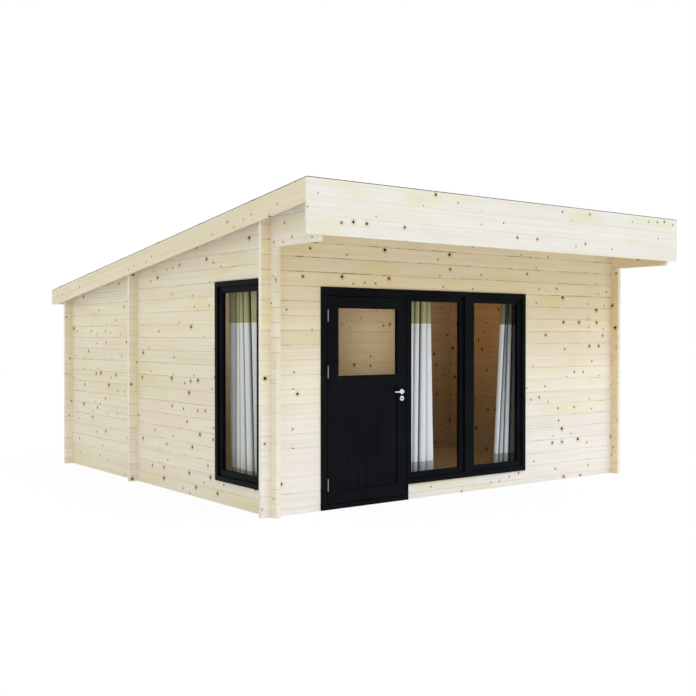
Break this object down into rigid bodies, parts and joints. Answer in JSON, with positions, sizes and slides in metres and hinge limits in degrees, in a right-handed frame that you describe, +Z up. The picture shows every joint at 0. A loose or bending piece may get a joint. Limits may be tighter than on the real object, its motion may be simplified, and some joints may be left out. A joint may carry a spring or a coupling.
{
  "type": "garden shed",
  "caption": "Timber log garden shed with notched corners, a sloping roof with a deep front canopy, a black door beside a tall window, a side window and an inner partition.",
  "frame": {"origin": "on the ground under the middle of the roof's outline", "axes": "+X to the right along the front wall as seen from outside, +Y from the front to the back, +Z up"},
  "size_m": [5.053, 5.794, 2.921],
  "materials": {
    "log_wood": "planed bare spruce",
    "trim_wood": "planed bare spruce",
    "black_wood": "satin black paint",
    "clear_glass": "clear",
    "steel": "brushed",
    "felt": "mineral felt",
    "curtain": "woven"
  },
  "bodies": {
    "shed": {"front_wall_left": "log_wood", "front_wall_right": "log_wood", "front_wall_sill": "log_wood", "front_wall_upper": "log_wood", "left_wall_front": "log_wood", "left_wall_rear": "log_wood", "left_wall_sill": "log_wood", "left_wall_upper": "log_wood", "right_wall_lower": "log_wood", "right_wall_upper": "log_wood", "back_wall": "log_wood", "partition_left": "log_wood", "partition_right": "log_wood", "partition_upper": "log_wood", "inner_doorway_jambs": "trim_wood", "inner_doorway_head": "trim_wood", "roof_boards": "trim_wood", "roof_felt": "felt", "roof_purlins": "log_wood", "front_fascia": "trim_wood", "rear_fascia": "trim_wood", "barge_boards": "trim_wood", "floor_joists": "log_wood", "floor_boards": "trim_wood", "front_frame_uprights": "black_wood", "front_frame_head": "black_wood", "front_frame_sill": "black_wood", "door_threshold": "black_wood", "side_frame_uprights": "black_wood", "side_frame_head_and_sill": "black_wood", "sash_stiles": "black_wood", "sash_rails": "black_wood", "window_glass": "clear_glass", "hinge_frame_halves": "steel", "curtain_rails": "steel", "front_left_curtain": "curtain", "front_right_curtain": "curtain", "side_curtain": "curtain"},
    "door": {"door_stiles": "black_wood", "door_rails": "black_wood", "door_panel": "black_wood", "door_glass": "clear_glass", "hinge_leaf_halves": "steel", "door_roses": "steel"},
    "lever": {"door_lever": "steel"}
  },
  "joints": [
    {"name": "door_hinge", "type": "hinge", "parent": "shed", "child": "door", "pos_m": [-1.777, -2.155, 1], "axis": [0, 0, -1], "range_deg": [0, 150]},
    {"name": "lever_turn", "type": "hinge", "parent": "door", "child": "lever", "pos_m": [-0.8855, -2.15, 1.07], "axis": [0, -1, 0], "range_deg": [0, 40], "stiffness_Nm_per_rad": 1, "springref_deg": -45.84}
  ]
}
